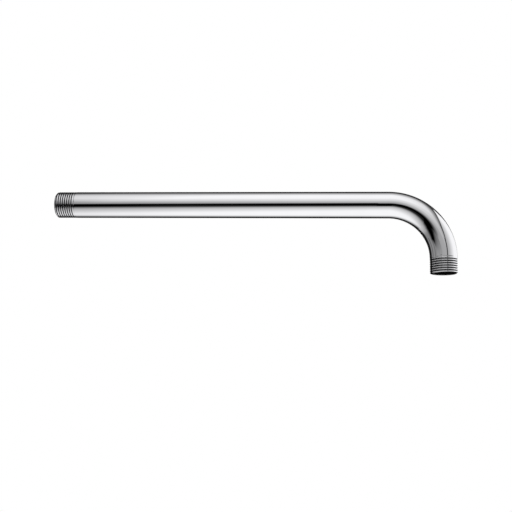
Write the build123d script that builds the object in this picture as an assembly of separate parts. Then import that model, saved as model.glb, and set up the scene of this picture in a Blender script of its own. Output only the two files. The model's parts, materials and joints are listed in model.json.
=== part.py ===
from build123d import *
import math
import os

# Shower arm for a wall outlet: one round tube with a pipe thread on each end, bent down near its far end.
# The origin is the centre of the wall end's face. The arm runs along +X and its outlet looks down, along -Z.
# Lengths are millimetres and angles are degrees.

# Half-inch parallel pipe thread, 14 turns to the inch
thread_diameter = 20.955  # over the crests
thread_pitch = 25.4 / 14
thread_depth = 0.640327 * thread_pitch  # crest to root of the rounded 55 degree form

# Tube
tube_proud = 0.1725  # how far the tube's surface stands outside the crests
tube_wall = 2.6
reach = 315.0  # wall end's face to the outlet's axis
bend_radius = 42.6  # of the centre line, two tube diameters
bend_angle = 90.0

# Turned ends, measured along the tube from each end's face
inlet_thread_length = 16.2
outlet_thread_length = 12.0
shoulder_length = 0.3  # cone from the crests up to the tube's surface
inlet_chamfer = thread_depth  # lead-in down to the thread's root
outlet_chamfer = 0.25
mouth_deburr = 0.4  # at the bore's two mouths

crest_radius = thread_diameter / 2
tube_radius = crest_radius + tube_proud
bore_radius = tube_radius - tube_wall


def turned_end(thread_length, chamfer):
    """One end of the tube, turned down to the thread's crests: its face lies on XY and it runs along +Z."""
    shoulder_end = thread_length + shoulder_length
    outline = Polyline(
        (bore_radius, shoulder_end),
        (bore_radius, mouth_deburr),
        (bore_radius + mouth_deburr, 0),
        (crest_radius - chamfer, 0),
        (crest_radius, chamfer),
        (crest_radius, thread_length),
        (tube_radius, shoulder_end),
        close=True,
    )
    return revolve(Plane.XZ * make_face(outline), Axis.Z)


def plain_tube(centre_line):
    """The hollow tube carried along its centre line."""
    section = Circle(tube_radius) - Circle(bore_radius)
    start = Plane(origin=centre_line @ 0, z_dir=centre_line % 0)
    return sweep(start * section, path=centre_line)


def shower_arm():
    """Straight run and bend between the two turned ends."""
    bend_tangent = bend_radius * math.tan(math.radians(bend_angle / 2))
    run_start = (inlet_thread_length + shoulder_length, 0)
    run = Line(run_start, (reach - bend_tangent, 0))
    bend = JernArc(start=run @ 1, tangent=run % 1, radius=bend_radius, arc_size=-bend_angle)
    centre_line = Plane.XZ * (run + bend)

    outlet_direction = centre_line % 1
    outlet_centre = centre_line @ 1 + outlet_direction * (outlet_thread_length + shoulder_length)
    inlet_plane = Plane(origin=(0, 0, 0), z_dir=(1, 0, 0))
    outlet_plane = Plane(origin=outlet_centre, z_dir=-outlet_direction)

    arm = plain_tube(centre_line)
    arm += inlet_plane * turned_end(inlet_thread_length, inlet_chamfer)
    arm += outlet_plane * turned_end(outlet_thread_length, outlet_chamfer)
    return arm


os.makedirs("parts", exist_ok=True)
export_step(shower_arm(), "parts/shower_arm.step")
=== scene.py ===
import json
import math

import bpy
import numpy as np
from bpy.props import FloatProperty, FloatVectorProperty, PointerProperty
from mathutils import Matrix, Vector


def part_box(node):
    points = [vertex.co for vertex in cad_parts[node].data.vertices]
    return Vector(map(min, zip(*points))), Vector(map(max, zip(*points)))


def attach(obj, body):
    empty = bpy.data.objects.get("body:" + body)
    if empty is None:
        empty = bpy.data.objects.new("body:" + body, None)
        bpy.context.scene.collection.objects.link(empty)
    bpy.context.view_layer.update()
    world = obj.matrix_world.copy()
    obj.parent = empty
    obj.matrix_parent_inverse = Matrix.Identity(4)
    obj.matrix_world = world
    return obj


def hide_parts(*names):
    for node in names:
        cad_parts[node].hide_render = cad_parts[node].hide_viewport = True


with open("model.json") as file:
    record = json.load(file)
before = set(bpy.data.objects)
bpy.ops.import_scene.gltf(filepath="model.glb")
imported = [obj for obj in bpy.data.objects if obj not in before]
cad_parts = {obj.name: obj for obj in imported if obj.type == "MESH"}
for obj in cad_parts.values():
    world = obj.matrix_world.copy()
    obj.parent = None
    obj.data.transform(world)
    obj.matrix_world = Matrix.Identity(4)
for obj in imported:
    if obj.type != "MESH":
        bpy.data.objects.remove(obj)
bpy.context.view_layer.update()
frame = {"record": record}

bl_info = {
    "name": "Shower Arm",
    "version": (1, 0, 0),
    "blender": (4, 5, 0),
    "location": "3D View > Sidebar > Shower Arm",
    "description": "Builds a chrome shower arm with cut pipe threads and a studio round it",
    "category": "Add Mesh",
}

# Lengths are metres and angles are radians, unless a comment says otherwise
MILLIMETRE = 0.001
INCH = 25.4 * MILLIMETRE

# What the frame says
NODE_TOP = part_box("shower_arm")[1]
MOUNTS = {mount["name"]: mount for mount in frame["record"]["mounts"]}
OUTLET_X, _, OUTLET_Z = MOUNTS["outlet_face"]["pos_m"]

# Rounded 55 degree pipe thread
TURNS_PER_INCH = 14
FLANK_ANGLE = math.radians(55.0 / 2)
ARC_SHARE = 0.137329  # radius of the crest's and the root's arcs, as a share of the pitch

# How finely the skin is divided
COLUMNS = 128  # round the tube
ROWS_PER_TURN = 33  # along the tube, for each turn of a thread
RUN_ROWS = 16
BEND_ROWS = 73
BORE_RUN_ROWS = 6
BORE_BEND_ROWS = 37
MOUTH_HAIR = 0.06  # share of a mouth's bevel over which the plating turns into the dull bore, darkened as painted shade
SEAM_DIGITS = 9  # decimals of a row's place, so that rows on a seam count as one
SHARP_ANGLE = math.radians(40.0)  # edges that turn by more stay sharp

# Grain of the finishes: cells per metre, and how many finer layers are added
PATCH_SCALE = 45.0
PATCH_DETAIL = 3.0
RIPPLE_SCALE = 140.0
RIPPLE_DETAIL = 1.0
FLOOR_GRAIN_SCALE = 60.0
FLOOR_GRAIN_DETAIL = 4.0
FLOOR_GRAIN_TONE = 0.98  # how much of the floor's colour its darker grain keeps

# Shares of the thread's height at which the painted shade in a groove starts and is at its full dark
GROOVE_SHADE_STARTS = 0.015
GROOVE_SHADE_FULL = 0.13

# Floor, lamp and camera
FLOOR_HALF = 1.2
FLOOR_FADE_START = 0.45  # from the point under the camera's target
FLOOR_FADE_END = 1.15
LAMP_SIZE = 0.5
LAMP_DEPTH = -0.15
LAMP_HEIGHT = 0.9
SENSOR_WIDTH = 36.0  # millimetres

# Directions in which a card's level changes
SIDEWAYS = (1.0, 0.0, 0.0)
DEPTHWAYS = (0.0, 1.0, 0.0)
UPWARDS = (0.0, 0.0, 1.0)

# Edges that cards share
CARDS_LEFT = -4.0  # left end of the light overhead and of the light below
FRONT_CORNER = -2.4  # where the left wall meets the front one
BACK_CORNER = -1.1  # where the left wall meets the back one
LEFT_TOP = 0.6  # height of the left wall
FLOOR_GAP = 0.01  # floor up to the light below

# Positions of a mix node's sockets for colours: its share, its two ends and what comes out
MIX_SHARE = 0
MIX_LOW = 6
MIX_HIGH = 7
MIX_COLOUR = 2

WHITE = (1.0, 1.0, 1.0, 1.0)


def length_setting(name, description, default):
    """A length that a user may change."""
    return FloatProperty(
        name=name, description=description, default=default, min=0.0, precision=5,
        unit="LENGTH", subtype="DISTANCE",
    )


def share_setting(name, description, default):
    """A plain number from 0 to 1 that a user may change."""
    return FloatProperty(
        name=name, description=description, default=default, min=0.0, max=1.0, precision=3, subtype="FACTOR",
    )


def angle_setting(name, description, degrees):
    """An angle that a user may change, given in degrees."""
    return FloatProperty(
        name=name, description=description, default=math.radians(degrees), unit="ROTATION", subtype="ANGLE",
    )


def colour_setting(name, description, default):
    """A linear colour that a user may change."""
    return FloatVectorProperty(
        name=name, description=description, default=default, min=0.0, max=1.0, size=3, subtype="COLOR",
    )


class ArmSizes(bpy.types.PropertyGroup):
    """Sizes of the tube and of its two threaded ends."""

    reach: length_setting("Reach", "Wall end's face to the outlet's axis", OUTLET_X)
    drop: length_setting("Drop", "Run's axis down to the outlet's face", -OUTLET_Z)
    bend_radius: length_setting("Bend radius", "Radius of the centre line in the bend", 42.6 * MILLIMETRE)
    tube_radius: length_setting("Tube radius", "Outside of the plain tube", NODE_TOP.z)
    tube_wall: length_setting("Tube wall", "Thickness of the plain tube", 2.6 * MILLIMETRE)
    crest_step: length_setting(
        "Crest step", "How far the crests lie under the tube's surface", 0.05 * MILLIMETRE
    )
    thread_pitch: length_setting("Thread pitch", "From one crest to the next", INCH / TURNS_PER_INCH)
    inlet_thread: length_setting("Wall thread", "Length of the wall end's thread", 16.2 * MILLIMETRE)
    outlet_thread: length_setting("Outlet thread", "Length of the outlet's thread", 12.0 * MILLIMETRE)
    inlet_crest_cut: length_setting(
        "Wall crest cut", "How far the wall thread's crests are turned down flat", 0.5 * MILLIMETRE
    )
    outlet_crest_cut: length_setting(
        "Outlet crest cut", "How far the outlet thread's crests are turned down flat", 0.4 * MILLIMETRE
    )
    run_out: length_setting("Run-out", "Length over which a thread climbs out of the tube", 2.6 * MILLIMETRE)
    shoulder: length_setting("Shoulder", "Length of the rise from the crests to the tube", 0.9 * MILLIMETRE)
    inlet_chamfer: length_setting("Wall chamfer", "Lead-in at the wall end", 1.1617 * MILLIMETRE)
    outlet_chamfer: length_setting("Outlet chamfer", "Lead-in at the outlet", 0.25 * MILLIMETRE)
    mouth_deburr: length_setting("Deburr", "Bevel at the bore's mouths", 0.4 * MILLIMETRE)
    edge_round: length_setting(
        "Edge round", "Rounding of the thread's edges and of the lead-in", 0.11 * MILLIMETRE
    )
    inlet_start: share_setting("Wall thread start", "Where the wall thread starts, in turns", 0.0)
    outlet_start: share_setting("Outlet thread start", "Where the outlet's thread starts, in turns", 0.0)


class ChromeFinish(bpy.types.PropertyGroup):
    """Colours and polish of the plating."""

    plating: colour_setting("Plating", "Polished chrome", (0.948, 0.947, 0.968))
    haze: colour_setting("Haze", "Chrome under a faint film of handling", (0.898, 0.897, 0.917))
    # Painted shade: the groove colour is nearly black, standing in for the shade and dark reflections in the
    # thread's roots
    groove: colour_setting("Groove", "Thin dark plating at the thread's root", (0.065, 0.065, 0.07))
    # Partly real and partly painted shade: dull unplated metal inside the tube, darkened to near black to
    # stand in for the shade there
    bore: colour_setting("Bore", "Dull unplated metal inside the tube", (0.03, 0.029, 0.028))
    polish: share_setting("Polish", "Roughness where the plating is brightest", 0.015)
    worn_polish: share_setting("Worn polish", "Roughness under the haze", 0.035)
    groove_roughness: share_setting("Groove roughness", "Roughness at the thread's root", 0.15)
    bore_roughness: share_setting("Bore roughness", "Roughness inside the tube", 0.42)
    ripple: length_setting("Ripple", "Depth of the polishing ripple", 0.006 * MILLIMETRE)


class StudioSettings(bpy.types.PropertyGroup):
    """Camera, floor and light."""

    azimuth: angle_setting("Azimuth", "Camera's turn about the arm, to the right of the front", 5.783)
    elevation: angle_setting("Elevation", "Camera's height angle, below the arm where negative", -9.567)
    roll: angle_setting("Roll", "Camera's turn about its own line of sight", -1.355)
    distance: length_setting("Distance", "Camera to its target", 0.61407)
    target: FloatVectorProperty(
        name="Target", description="Point that the camera looks at", default=(0.167005, 0.0, -0.041997),
        size=3, precision=5, unit="LENGTH", subtype="XYZ",
    )
    lens: FloatProperty(
        name="Lens", description="Focal length for a 36 mm sensor", default=53.687, min=1.0, unit="CAMERA",
    )
    floor_depth: length_setting("Floor depth", "Run's axis down to the floor", 0.60)
    floor_colour: colour_setting("Floor", "Pale floor", (0.90, 0.90, 0.90))
    ambient: share_setting("Ambient", "Light of the room on the floor", 0.62)
    lamp_power: FloatProperty(
        name="Lamp", description="Power of the overhead lamp", default=14.0, min=0.0, unit="POWER",
    )
    canopy_height: length_setting("Canopy height", "Run's axis up to the light overhead", 1.0)
    front_distance: length_setting("Front distance", "Arm to the wall behind the camera", 1.5)
    back_distance: length_setting("Back distance", "Arm to the dark wall behind it", 0.75)
    side_distance: length_setting("Side distance", "Outlet to the light on the right", 1.2)


def smooth_ramp(value):
    """Cubic ramp: three times the square less twice the cube of a value held between 0 and 1."""
    held = np.clip(value, 0.0, 1.0)
    return held * held * (3.0 - 2.0 * held)


def smooth_least(first, second, width):
    """The lesser of two values, rounded off where they are within a width of each other.

    A share goes evenly from 0 to 1 over that stretch. It blends the two, and the width times the share times
    what the share lacks of 1 is taken off.
    """
    share = np.clip(0.5 + 0.5 * (second - first) / width, 0.0, 1.0)
    return second + (first - second) * share - width * share * (1.0 - share)


def thread_form(turn, pitch):
    """Depth below the crest at a number of turns.

    The distance from the nearest crest is folded to half a pitch. The crest is an arc out to where it is
    tangent to the flank, the flank falls by one over the tangent of its angle, and the root is the same arc
    turned over.
    """
    offset = np.abs(turn - np.round(turn)) * pitch
    arc = ARC_SHARE * pitch
    tangent = arc * math.cos(FLANK_ANGLE)
    sag = arc * (1.0 - math.sin(FLANK_ANGLE))
    fall = 1.0 / math.tan(FLANK_ANGLE)
    depth = 2.0 * sag + (pitch / 2 - 2.0 * tangent) * fall
    crest = arc - np.sqrt(np.maximum(arc**2 - offset**2, 0.0))
    flank = sag + (offset - tangent) * fall
    root = depth - arc + np.sqrt(np.maximum(arc**2 - (pitch / 2 - offset) ** 2, 0.0))
    return np.select([offset < tangent, offset < pitch / 2 - tangent], [crest, flank], root)


def thread_height(sizes):
    """Height of the whole thread form, which is its depth half a turn from a crest."""
    return thread_form(0.5, sizes.thread_pitch)


def end_profile(distance, turn, thread, crest_cut, chamfer, sizes):
    """Outer radius at a distance from one end's face, and the share of the thread's height cut away there.

    The blank is the crest radius, lifted past the thread to the tube's by a smooth ramp. The thread's form
    stands out from it by the crest cut and climbs evenly over the run-out, so that its grooves grow thin and
    end. The radius is the lesser of the two, rounded off, and of a 45 degree cone from the face.
    """
    crest_radius = sizes.tube_radius - sizes.crest_step
    height = thread_height(sizes)
    blank = crest_radius + smooth_ramp((distance - thread) / sizes.shoulder) * sizes.crest_step
    climb = np.maximum((distance - thread) / sizes.run_out + 0.5, 0.0) * height
    form = crest_radius + crest_cut + climb - thread_form(turn, sizes.thread_pitch)
    cut = smooth_least(blank, form, sizes.edge_round)
    lead_in = crest_radius - chamfer + distance
    return smooth_least(cut, lead_in, sizes.edge_round), (blank - cut) / height


def end_stations(thread, sizes):
    """Distances from an end's face to its rows: even steps up to the run-out's end, and one row beyond."""
    reach = thread + sizes.run_out
    steps = math.ceil(reach / sizes.thread_pitch * ROWS_PER_TURN)
    return np.append(np.linspace(0.0, reach, steps + 1), reach + sizes.shoulder)


def path_lengths(sizes):
    """Lengths of the straight run, the quarter bend and the whole centre line."""
    run = sizes.reach - sizes.bend_radius
    bend = sizes.bend_radius * math.pi / 2
    leg = sizes.drop - sizes.bend_radius
    return run, bend, run + bend + leg


def centre_line(along, sizes):
    """Points and unit tangents of the centre line.

    It runs straight along +X, turns down by its length past the run over the bend radius, and goes on
    along -Z.
    """
    run, bend, _ = path_lengths(sizes)
    turn = np.clip((along - run) / sizes.bend_radius, 0.0, math.pi / 2)
    past = np.maximum(along - run - bend, 0.0)
    flat = np.zeros_like(along)
    x = np.minimum(along, run) + sizes.bend_radius * np.sin(turn)
    z = -sizes.bend_radius * (1.0 - np.cos(turn)) - past
    points = np.stack((x, flat, z), axis=-1)
    tangents = np.stack((np.cos(turn), flat, -np.sin(turn)), axis=-1)
    return points, tangents


def seamless(*stretches):
    """Stretches of stations joined in order, with one row where two of them meet."""
    return np.unique(np.round(np.concatenate(stretches), SEAM_DIGITS))


def arm_grid(sizes):
    """Grid of points over the whole skin, and two marks per point: inside the bore, and depth in a groove.

    Rows follow a closed loop: along the outside from the wall end to the outlet, over the outlet's face,
    back through the bore and over the wall end's face. Columns go round the tube. A point is the centre
    line's point plus its radius times the cosine of the column's angle along +Y and the sine along the
    bend's outer side.
    """
    run, bend, whole = path_lengths(sizes)
    plain_start = sizes.inlet_thread + sizes.run_out + sizes.shoulder
    outer = seamless(
        end_stations(sizes.inlet_thread, sizes),
        np.linspace(plain_start, run, RUN_ROWS),
        np.linspace(run, run + bend, BEND_ROWS),
        whole - end_stations(sizes.outlet_thread, sizes),
    )
    bore = seamless(
        np.linspace(sizes.mouth_deburr, run, BORE_RUN_ROWS),
        np.linspace(run, run + bend, BORE_BEND_ROWS),
        [whole - sizes.mouth_deburr],
    )

    angle = np.arange(COLUMNS) * (2.0 * math.pi / COLUMNS)
    turn = outer[:, None] / sizes.thread_pitch - angle / (2.0 * math.pi)
    inlet, inlet_groove = end_profile(
        outer[:, None], turn + sizes.inlet_start,
        sizes.inlet_thread, sizes.inlet_crest_cut, sizes.inlet_chamfer, sizes,
    )
    outlet, outlet_groove = end_profile(
        whole - outer[:, None], turn + sizes.outlet_start,
        sizes.outlet_thread, sizes.outlet_crest_cut, sizes.outlet_chamfer, sizes,
    )
    outer_radius = np.minimum(inlet, outlet)

    bore_radius = sizes.tube_radius - sizes.tube_wall
    hair = MOUTH_HAIR * sizes.mouth_deburr
    inner = np.concatenate(([whole, whole - hair], bore[::-1], [hair, 0.0]))
    to_mouth = np.minimum(inner, whole - inner)
    inner_radius = bore_radius + np.maximum(sizes.mouth_deburr - to_mouth, 0.0)
    radius = np.vstack((outer_radius, np.broadcast_to(inner_radius[:, None], (len(inner), COLUMNS))))
    along = np.concatenate((outer, inner))

    points, tangents = centre_line(along, sizes)
    across = np.array((0.0, 1.0, 0.0))
    outward = np.cross(tangents, across)
    spoke = np.cos(angle)[:, None] * across + np.sin(angle)[:, None] * outward[:, None, :]
    grid = points[:, None, :] + radius[..., None] * spoke

    inside = np.zeros_like(radius)
    inside[len(outer) + 1:-1] = 1.0
    # Depth in a groove, which the material uses to place the painted shade in the thread's roots
    groove = np.zeros_like(radius)
    groove[:len(outer)] = inlet_groove + outlet_groove
    return grid, inside, groove


def grid_mesh(name, grid, wrap):
    """Mesh of quads over a grid of points, closed in both directions where wrap is true."""
    rows, columns = grid.shape[:2]
    index = np.arange(rows * columns).reshape(rows, columns)
    beside = np.roll(index, -1, axis=1)
    ahead = np.roll(index, -1, axis=0)
    across = np.roll(ahead, -1, axis=1)
    quads = np.stack((index, beside, across, ahead), axis=-1)
    if not wrap:
        quads = quads[:-1, :-1]
    quads = quads.reshape(-1, 4)

    mesh = bpy.data.meshes.new(name)
    mesh.vertices.add(rows * columns)
    mesh.vertices.foreach_set("co", grid.astype(np.float32).ravel())
    mesh.loops.add(quads.size)
    mesh.loops.foreach_set("vertex_index", quads.astype(np.int32).ravel())
    mesh.polygons.add(len(quads))
    mesh.polygons.foreach_set("loop_start", np.arange(0, quads.size, 4, dtype=np.int32))
    mesh.update(calc_edges=True)
    if mesh.validate():
        raise ValueError(f"the mesh {name} has bad faces")
    return mesh


def point_mark(mesh, name, values):
    """A number per point that a material reads by name."""
    attribute = mesh.attributes.new(name, "FLOAT", "POINT")
    attribute.data.foreach_set("value", values.astype(np.float32).ravel())


def placed(mesh, material):
    """An object at the origin that shows a mesh in a material."""
    mesh.materials.append(material)
    thing = bpy.data.objects.new(mesh.name, mesh)
    bpy.context.scene.collection.objects.link(thing)
    return thing


class NodeSheet:
    """A material's or world's empty node tree, with short calls to add and link nodes."""

    def __init__(self, owner):
        owner.use_nodes = True
        self.tree = owner.node_tree
        self.tree.nodes.clear()

    def add(self, kind, inputs=(), **settings):
        """A node of a kind, with its settings and its inputs, each a value or another node's output."""
        node = self.tree.nodes.new(kind)
        for key, value in settings.items():
            setattr(node, key, value)
        for key, value in dict(inputs).items():
            if isinstance(value, bpy.types.NodeSocket):
                self.tree.links.new(value, node.inputs[key])
            else:
                node.inputs[key].default_value = value
        return node

    def place(self):
        """The shaded point's place in the object's own frame."""
        return self.add("ShaderNodeTexCoord").outputs["Object"]

    def noise(self, place, scale, detail):
        """Soft random patches round 0.5 at a place."""
        inputs = {"Vector": place, "Scale": scale, "Detail": detail}
        return self.add("ShaderNodeTexNoise", inputs).outputs["Fac"]

    def blend(self, share, low, high):
        """Colour that goes from low to high with a share."""
        node = self.add("ShaderNodeMix", data_type="RGBA")
        for position, value in ((MIX_SHARE, share), (MIX_LOW, low), (MIX_HIGH, high)):
            if isinstance(value, bpy.types.NodeSocket):
                self.tree.links.new(value, node.inputs[position])
            else:
                node.inputs[position].default_value = (*value, 1.0)
        return node.outputs[MIX_COLOUR]

    def number(self, operation, first, second):
        """One sum, product or other operation on two numbers."""
        return self.add("ShaderNodeMath", {0: first, 1: second}, operation=operation).outputs["Value"]

    def joined(self, operation, values):
        """Numbers joined one after another by an operation."""
        total = values[0]
        for value in values[1:]:
            total = self.number(operation, total, value)
        return total

    def stretch(self, value, low, high):
        """A number from 0 to 1 carried to the range from low to high."""
        node = self.add("ShaderNodeMapRange", {"Value": value, "To Min": low, "To Max": high})
        return node.outputs["Result"]

    def smooth_step(self, value, start, end):
        """A number that rises smoothly from 0 to 1 while a value goes from start to end."""
        limits = {"Value": value, "From Min": start, "From Max": end}
        return self.add("ShaderNodeMapRange", limits, interpolation_type="SMOOTHSTEP").outputs["Result"]


def chrome_material(finish):
    """Bright chrome plating: haze in soft patches, a fine polishing ripple, painted shade in the thread's
    roots and a dull bore darkened to near black as painted shade."""
    material = bpy.data.materials.new("polished_chrome_plating")
    sheet = NodeSheet(material)
    place = sheet.place()
    patches = sheet.noise(place, PATCH_SCALE, PATCH_DETAIL)
    ripple = sheet.noise(place, RIPPLE_SCALE, RIPPLE_DETAIL)
    inside = sheet.add("ShaderNodeAttribute", attribute_name="bore").outputs["Fac"]
    groove = sheet.add("ShaderNodeAttribute", attribute_name="groove").outputs["Fac"]
    depth = sheet.smooth_step(groove, GROOVE_SHADE_STARTS, GROOVE_SHADE_FULL)

    plating = sheet.blend(patches, finish.plating, finish.haze)
    # Painted shade: deeper in a groove the plating turns to the nearly black groove colour
    groove_shaded_plating = sheet.blend(depth, plating, finish.groove)
    # Painted shade: the bore turns to its near black colour, which stands in for the shade inside the tube
    colour = sheet.blend(inside, groove_shaded_plating, finish.bore)

    polished = sheet.stretch(patches, finish.polish, finish.worn_polish)
    grooved = sheet.number("MULTIPLY", depth, finish.groove_roughness)
    bored = sheet.number("MULTIPLY", inside, finish.bore_roughness)
    gloss = sheet.joined("MAXIMUM", [grooved, bored, polished])
    bump = sheet.add("ShaderNodeBump", {"Height": ripple, "Strength": 1.0, "Distance": finish.ripple})
    surface = sheet.add("ShaderNodeBsdfPrincipled", {
        "Base Color": colour, "Metallic": 1.0, "Roughness": gloss, "Normal": bump.outputs["Normal"],
    })
    sheet.add("ShaderNodeOutputMaterial", {"Surface": surface.outputs["BSDF"]})
    return material


def seen_directly(sheet):
    """1 for what the camera, a mirror or glass sees, 0 for what only lights."""
    path = sheet.add("ShaderNodeLightPath").outputs
    kinds = ("Is Glossy Ray", "Is Transmission Ray", "Is Camera Ray")
    return sheet.joined("MAXIMUM", [path[kind] for kind in kinds])


def grey_ramp(sheet, place, direction, stops):
    """Grey level at a place: its distance along a direction, looked up in stops of distance and level."""
    along = sheet.add("ShaderNodeVectorMath", {0: place, 1: direction}, operation="DOT_PRODUCT")
    first, last = stops[0][0], stops[-1][0]
    limits = {"Value": along.outputs["Value"], "From Min": first, "From Max": last}
    share = sheet.add("ShaderNodeMapRange", limits)
    ramp = sheet.add("ShaderNodeValToRGB", {"Fac": share.outputs["Result"]})
    elements = ramp.color_ramp.elements
    while len(elements) < len(stops):
        elements.new(position=0.5)
    for element, (distance, grey) in zip(elements, stops):
        element.position = (distance - first) / (last - first)
        element.color = (grey, grey, grey, 1.0)
    return sheet.add("ShaderNodeRGBToBW", {"Color": ramp.outputs["Color"]}).outputs["Val"]


def card_material(name, fields):
    """A glowing card whose level at a point is the product of its fields there.

    A field is a ramp, which is a direction and its stops, or a list of ramps of which the lightest counts.
    """
    material = bpy.data.materials.new(name)
    sheet = NodeSheet(material)
    place = sheet.place()
    shades = []
    for field in fields:
        ramps = field if isinstance(field, list) else [field]
        shades.append(sheet.joined("MAXIMUM", [grey_ramp(sheet, place, *ramp) for ramp in ramps]))
    level = sheet.joined("MULTIPLY", shades)
    glow = sheet.add("ShaderNodeEmission", {"Color": WHITE, "Strength": level})
    sheet.add("ShaderNodeOutputMaterial", {"Surface": glow.outputs["Emission"]})
    return material


def card(name, near, far, fields):
    """A flat studio card between two edges, each two points, ruled straight from one to the other. Only
    mirrors see it: it neither shows nor shades."""
    grid = np.array((near, far), dtype=float)
    thing = placed(grid_mesh(name, grid, False), card_material(name, fields))
    thing.visible_camera = False
    thing.visible_diffuse = False
    thing.visible_shadow = False


def upright_card(name, depth, left, right, foot, top, fields):
    """An upright card at a depth, from left to right and from its foot to its top."""
    near = ((left, depth, foot), (right, depth, foot))
    far = ((left, depth, top), (right, depth, top))
    card(name, near, far, fields)


def lying_card(name, height, left, right, front, back, fields):
    """A level card at a height, from left to right and from front to back."""
    near = ((left, front, height), (right, front, height))
    far = ((left, back, height), (right, back, height))
    card(name, near, far, fields)


def floor_material(studio):
    """Pale matt floor that turns into the white background away from the arm, where it holds no shadow."""
    material = bpy.data.materials.new("pale_floor")
    sheet = NodeSheet(material)
    place = sheet.place()
    grain = sheet.noise(place, FLOOR_GRAIN_SCALE, FLOOR_GRAIN_DETAIL)
    tone = sheet.blend(grain, studio.floor_colour, [FLOOR_GRAIN_TONE * part for part in studio.floor_colour])
    matt = sheet.add("ShaderNodeBsdfDiffuse", {"Color": tone}).outputs["BSDF"]
    white = sheet.add("ShaderNodeEmission", {"Color": WHITE, "Strength": 1.0}).outputs["Emission"]
    centre = (studio.target[0], 0.0, -studio.floor_depth)
    far = sheet.add("ShaderNodeVectorMath", {0: place, 1: centre}, operation="DISTANCE").outputs["Value"]
    edge = sheet.smooth_step(far, FLOOR_FADE_START, FLOOR_FADE_END)
    share = sheet.number("MULTIPLY", edge, seen_directly(sheet))
    mixed = sheet.add("ShaderNodeMixShader", {0: share, 1: matt, 2: white})
    sheet.add("ShaderNodeOutputMaterial", {"Surface": mixed.outputs["Shader"]})
    return material


def add_floor(studio):
    """A flat square under the arm."""
    sides = np.array((-FLOOR_HALF, FLOOR_HALF))
    x, y = np.meshgrid(sides + studio.target[0], sides, indexing="ij")
    grid = np.stack((x, y, np.full_like(x, -studio.floor_depth)), axis=-1)
    floor = placed(grid_mesh("floor", np.flip(grid, axis=1), False), floor_material(studio))


def add_world(studio):
    """White for the camera, mirrors and glass, and a softer level for what only lights."""
    world = bpy.data.worlds.new("studio_room")
    sheet = NodeSheet(world)
    room = [studio.ambient] * 3
    colour = sheet.blend(seen_directly(sheet), room, WHITE[:3])
    light = sheet.add("ShaderNodeBackground", {"Color": colour, "Strength": 1.0})
    sheet.add("ShaderNodeOutputWorld", {"Surface": light.outputs["Background"]})
    bpy.context.scene.world = world


def add_lamp(studio):
    """A round soft lamp over the arm, for the shadow on the floor."""
    light = bpy.data.lights.new("overhead_lamp", "AREA")
    light.shape = "DISK"
    light.size = LAMP_SIZE
    light.energy = studio.lamp_power
    lamp = bpy.data.objects.new("overhead_lamp", light)
    lamp.location = (studio.target[0], LAMP_DEPTH, LAMP_HEIGHT)
    lamp.visible_glossy = False
    bpy.context.scene.collection.objects.link(lamp)


def add_camera(studio):
    """Camera that looks at its target from its azimuth, elevation and distance, turned by its roll."""
    azimuth, elevation, roll = studio.azimuth, studio.elevation, studio.roll
    right = Vector((math.cos(azimuth), math.sin(azimuth), 0.0))
    back = Vector((
        math.sin(azimuth) * math.cos(elevation),
        -math.cos(azimuth) * math.cos(elevation),
        math.sin(elevation),
    ))
    up = back.cross(right)
    turned_right = right * math.cos(roll) - up * math.sin(roll)
    turned_up = back.cross(turned_right)
    data = bpy.data.cameras.new("camera")
    data.sensor_width = SENSOR_WIDTH
    data.lens = studio.lens
    camera = bpy.data.objects.new("camera", data)
    turn = Matrix((turned_right, turned_up, back)).transposed().to_4x4()
    camera.matrix_world = Matrix.Translation(Vector(studio.target) + back * studio.distance) @ turn
    bpy.context.scene.collection.objects.link(camera)
    bpy.context.scene.camera = camera


class Room:
    """Planes that the cards stand on, worked out from the settings."""

    def __init__(self, studio, sizes):
        self.top = studio.canopy_height
        self.base = -studio.floor_depth + FLOOR_GAP
        self.front = -studio.front_distance
        self.back = studio.back_distance
        self.right = sizes.reach + studio.side_distance


def add_canopy(room):
    """Light overhead, brightest a little in front of the arm. It falls off to the front, to the back and
    past a slanted line at each end."""
    front_edge = -6.5
    back_edge = 0.62
    front_right = 3.2
    back_right = 1.09
    depth_levels = [
        (-6.3, 0.42), (-3.0, 0.54), (-1.9, 0.73), (-1.4, 0.79), (-0.95, 0.97), (-0.65, 1.0),
        (-0.19, 0.99), (0.0, 0.70), (0.25, 0.45), (0.42, 0.18), (0.6, 0.04),
    ]
    left_slant = (1.0, -0.333, 0.0)
    left_levels = [(-0.5, 0.3), (-0.3, 0.7), (-0.1, 0.82), (0.0, 0.9), (0.1, 1.0)]
    right_slant = (1.0, 0.297, 0.0)
    right_levels = [(0.35, 1.0), (0.85, 0.78), (1.05, 0.38), (1.2, 0.12), (1.27, 0.10)]
    card(
        "canopy",
        ((CARDS_LEFT, front_edge, room.top), (front_right, front_edge, room.top)),
        ((CARDS_LEFT, back_edge, room.top), (back_right, back_edge, room.top)),
        [(DEPTHWAYS, depth_levels), (left_slant, left_levels), (right_slant, right_levels)],
    )


def add_front_left(room):
    """Dim wall in front, left of the gap: dark at its foot, and dimmer below and right of a slanted line."""
    right_edge = -0.56
    right_top = 0.3
    height_levels = [
        (-0.5, 0.0), (-0.42, 0.02), (-0.36, 0.06), (-0.3, 0.10), (-0.18, 0.155), (-0.06, 0.21),
        (0.12, 0.28), (0.3, 0.32),
    ]
    slant = (0.5, 0.0, -1.0)
    slant_levels = [(-0.2, 1.0), (-0.1, 0.95), (-0.055, 0.8), (0.005, 0.32), (0.07, 0.28)]
    card(
        "front_left",
        ((FRONT_CORNER, room.front, room.base), (right_edge, room.front, room.base)),
        ((FRONT_CORNER, room.front, LEFT_TOP), (right_edge, room.front, right_top)),
        [(UPWARDS, height_levels), (slant, slant_levels)],
    )


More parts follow.
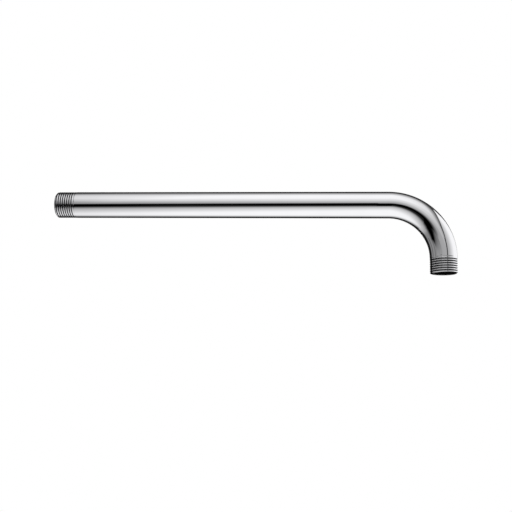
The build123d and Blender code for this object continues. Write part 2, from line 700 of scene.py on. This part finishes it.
def add_far_cards():
    """Two cards far off, seen through the gap in front: black below and grey above a line that falls to the
    left, steeper on the left card."""
    depth = -6.0
    foot = -2.6
    top = 0.98
    left_edge = -3.6
    split = -2.12
    right_edge = 1.6

    strip_slant = (-0.3, 0.0, 1.0)
    strip_levels = [
        (-0.22, 0.0), (-0.02, 0.026), (0.14, 0.09), (0.34, 0.18), (0.46, 0.25), (0.58, 0.36), (0.70, 0.40),
    ]
    side_levels = [(-1.96, 0.85), (-0.53, 0.97), (0.56, 1.0)]
    strip_fields = [(strip_slant, strip_levels), (SIDEWAYS, side_levels)]
    upright_card("far_strip", depth, split, right_edge, foot, top, strip_fields)

    left_slant = (-0.9, 0.0, 1.0)
    left_levels = [
        (1.04, 0.0), (1.2, 0.03), (1.34, 0.072), (1.62, 0.115), (1.95, 0.165), (2.35, 0.21), (3.0, 0.285),
        (3.6, 0.38),
    ]
    foot_levels = [(-1.45, 0.0), (-1.15, 0.2), (-0.95, 0.6), (-0.75, 1.0)]
    left_fields = [(left_slant, left_levels), (UPWARDS, foot_levels)]
    upright_card("far_left", depth, left_edge, split, foot, top, left_fields)


def add_front_right(room):
    """Wall in front, right of the gap, black below and grey above, and a leaning dark post at its end."""
    left_edge = 0.35
    right_edge = 1.1
    top = 0.3
    height_levels = [(-0.05, 0.0), (0.02, 0.06), (0.10, 0.32), (0.18, 0.40)]
    wall_fields = [(UPWARDS, height_levels)]
    upright_card("front_right", room.front, left_edge, right_edge, room.base, top, wall_fields)

    post_gap = 0.02
    post_depth = room.front + post_gap
    post_foot = 0.0
    post_top = 0.45
    foot_left, foot_right = 0.82, 1.10
    top_left, top_right = 0.98, 1.22
    even_level = [(0.0, 0.05), (1.0, 0.05)]
    card(
        "corner_post",
        ((foot_left, post_depth, post_foot), (foot_right, post_depth, post_foot)),
        ((top_left, post_depth, post_top), (top_right, post_depth, post_top)),
        [(SIDEWAYS, even_level)],
    )


def add_base_cards(room):
    """Light from below in three cards, brightest under the arm. It falls off to the front, to the left, past
    the outlet and, on the two right cards, to the back."""
    front_edge = -2.4
    light_left = -0.4
    fade_left = -0.6

    light_slant = (0.77, 1.0, 0.0)
    light_levels = [
        (-1.5, 0.015), (-1.16, 0.15), (-0.99, 0.31), (-0.77, 0.49), (-0.52, 0.65), (-0.33, 0.775),
        (-0.2, 0.89), (-0.07, 0.99), (0.05, 1.0),
    ]
    back_levels = [(0.2, 1.0), (0.3, 0.86), (0.42, 0.62), (0.55, 0.36), (0.66, 0.14), (0.75, 0.05)]
    side_levels = [(-0.4, 0.72), (-0.2, 0.87), (0.0, 1.0), (0.5, 1.0), (0.65, 0.7), (0.85, 0.25), (1.3, 0.2)]
    light_fields = [(light_slant, light_levels), (DEPTHWAYS, back_levels), (SIDEWAYS, side_levels)]
    lying_card("base_light", room.base, light_left, room.right, front_edge, room.back, light_fields)

    fade_slant = (0.63, 1.0, 0.0)
    fade_levels = [
        (-1.3, 0.0), (-1.2, 0.03), (-1.05, 0.11), (-0.9, 0.29), (-0.75, 0.54), (-0.6, 0.72), (-0.45, 0.86),
        (-0.15, 1.0), (0.15, 0.97), (0.5, 0.7),
    ]
    fade_fields = [(fade_slant, fade_levels), (SIDEWAYS, [(fade_left, 0.48), (light_left, 0.60)])]
    lying_card("base_fade", room.base, fade_left, light_left, front_edge, room.back, fade_fields)

    depth_levels = [
        (-0.85, 0.0), (-0.75, 0.03), (-0.65, 0.09), (-0.55, 0.21), (-0.47, 0.42), (-0.38, 0.6),
        (-0.28, 0.82), (-0.15, 0.9), (0.1, 1.0),
    ]
    end_levels = [(-2.0, 0.23), (-1.0, 0.25), (-0.85, 0.27), (-0.75, 0.32), (-0.67, 0.40), (-0.6, 0.44)]
    left_fields = [(DEPTHWAYS, depth_levels), (SIDEWAYS, end_levels)]
    lying_card("base_left", room.base, CARDS_LEFT, fade_left, front_edge, room.back, left_fields)


def add_back_cards(room):
    """Black wall behind the arm, a dark one with a slanted foot on its right, and a low dim one there."""
    top = 2.6
    split = 0.65
    wall_levels = [(BACK_CORNER, 0.2), (-0.7, 0.01), (0.7, 0.01)]
    upright_card("back_wall", room.back, BACK_CORNER, split, room.base, top, [(SIDEWAYS, wall_levels)])

    upper_right = 1.4
    left_foot = 0.05
    right_foot = 1.15
    card(
        "back_upper",
        ((split, room.back, left_foot), (upper_right, room.back, right_foot)),
        ((split, room.back, top), (upper_right, room.back, top)),
        [(SIDEWAYS, [(split, 0.03), (upper_right, 0.10)])],
    )

    low_top = -0.2
    low_levels = [(room.base, 0.05), (low_top, 0.3)]
    upright_card("back_low", room.back, split, room.right, room.base, low_top, [(UPWARDS, low_levels)])


def add_left_wall(room):
    """Dim wall on the left, from the front corner to the back one: dark at its foot, with two dark bands."""
    foot_slant = (0.0, 0.4, 1.0)
    foot_levels = [(-1.1, 0.0), (-0.95, 0.03), (-0.8, 0.12), (-0.6, 0.23), (-0.2, 0.26)]
    band_levels = [
        (-0.72, 1.0), (-0.60, 0.6), (-0.42, 0.6), (-0.30, 1.0),
        (0.22, 1.0), (0.30, 0.5), (0.45, 0.5), (0.55, 1.0),
    ]
    card(
        "left_wall",
        ((FRONT_CORNER, room.front, room.base), (BACK_CORNER, room.back, room.base)),
        ((FRONT_CORNER, room.front, LEFT_TOP), (BACK_CORNER, room.back, LEFT_TOP)),
        [(foot_slant, foot_levels), (DEPTHWAYS, band_levels)],
    )


def add_right_light(room):
    """Light on the right, brightest at its back, with a dark rim that rises to the back. Its low part is
    dark in front, and the dark lifts towards the back."""
    front_edge = -2.6
    back_edge = 0.3
    rim_height = 1.41  # at the depth of the arm
    rim_slope = 0.3125
    depth_levels = [(-2.6, 0.42), (-1.6, 0.45), (-1.2, 0.5), (-0.7, 0.66), (-0.3, 0.85), (0.0, 1.0)]
    low_levels = [(-0.6, 0.3), (-0.3, 0.02), (0.04, 0.02), (0.16, 1.0)]
    lift_levels = [(-1.2, 0.0), (-0.7, 0.15), (-0.4, 0.5), (-0.1, 1.0)]
    low_shade = [(UPWARDS, low_levels), (DEPTHWAYS, lift_levels)]
    rim_slant = (0.0, -rim_slope, 1.0)
    rim_levels = [(1.19, 1.0), (1.26, 0.12), (rim_height, 0.12)]
    rim_front = rim_height + rim_slope * front_edge
    rim_back = rim_height + rim_slope * back_edge
    card(
        "right_light",
        ((room.right, front_edge, room.base), (room.right, back_edge, room.base)),
        ((room.right, front_edge, rim_front), (room.right, back_edge, rim_back)),
        [(DEPTHWAYS, depth_levels), low_shade, (rim_slant, rim_levels)],
    )


def add_cards(studio, sizes):
    """The cards that the chrome mirrors: light overhead, below and on the right, dim or dark elsewhere."""
    room = Room(studio, sizes)
    add_canopy(room)
    add_front_left(room)
    add_far_cards()
    add_front_right(room)
    add_base_cards(room)
    add_back_cards(room)
    add_left_wall(room)
    add_right_light(room)


class SHOWERARM_OT_add_arm(bpy.types.Operator):
    """Add the chrome tube with its bend, its bore and its two cut pipe threads"""

    bl_idname = "shower_arm.add_arm"
    bl_label = "Add Arm"

    def execute(self, context):
        grid, inside, groove = arm_grid(context.scene.arm_sizes)
        mesh = grid_mesh("chrome_arm", grid, True)
        point_mark(mesh, "bore", inside)
        point_mark(mesh, "groove", groove)
        mesh.shade_smooth()
        mesh.set_sharp_from_angle(angle=SHARP_ANGLE)
        arm = placed(mesh, chrome_material(context.scene.chrome_finish))
        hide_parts("shower_arm")
        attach(arm, "root")
        return {"FINISHED"}


class SHOWERARM_OT_add_studio(bpy.types.Operator):
    """Add the floor, the light, the cards that the chrome mirrors, and the camera"""

    bl_idname = "shower_arm.add_studio"
    bl_label = "Add Studio"

    def execute(self, context):
        studio = context.scene.studio_settings
        add_floor(studio)
        add_world(studio)
        add_lamp(studio)
        add_cards(studio, context.scene.arm_sizes)
        add_camera(studio)
        context.scene.view_settings.view_transform = "Standard"
        return {"FINISHED"}


class SHOWERARM_PT_sidebar(bpy.types.Panel):
    """Sizes, finish, studio and the two build steps"""

    bl_label = "Shower Arm"
    bl_idname = "SHOWERARM_PT_sidebar"
    bl_space_type = "VIEW_3D"
    bl_region_type = "UI"
    bl_category = "Shower Arm"

    def draw(self, context):
        for title, group in SETTINGS.items():
            settings = getattr(context.scene, title)
            box = self.layout.box()
            box.label(text=group.__doc__)
            for name in group.__annotations__:
                box.prop(settings, name)
        self.layout.operator(SHOWERARM_OT_add_arm.bl_idname)
        self.layout.operator(SHOWERARM_OT_add_studio.bl_idname)


SETTINGS = {"arm_sizes": ArmSizes, "chrome_finish": ChromeFinish, "studio_settings": StudioSettings}
CLASSES = (*SETTINGS.values(), SHOWERARM_OT_add_arm, SHOWERARM_OT_add_studio, SHOWERARM_PT_sidebar)


def register():
    """Makes the settings, the build steps and the sidebar known to Blender."""
    for entry in CLASSES:
        bpy.utils.register_class(entry)
    for title, group in SETTINGS.items():
        setattr(bpy.types.Scene, title, PointerProperty(type=group))


def unregister():
    """Takes back what register made known."""
    for title in SETTINGS:
        delattr(bpy.types.Scene, title)
    for entry in reversed(CLASSES):
        bpy.utils.unregister_class(entry)


def main():
    """Builds the arm and its studio."""
    register()
    bpy.ops.shower_arm.add_arm()
    bpy.ops.shower_arm.add_studio()


if __name__ == "__main__":
    main()
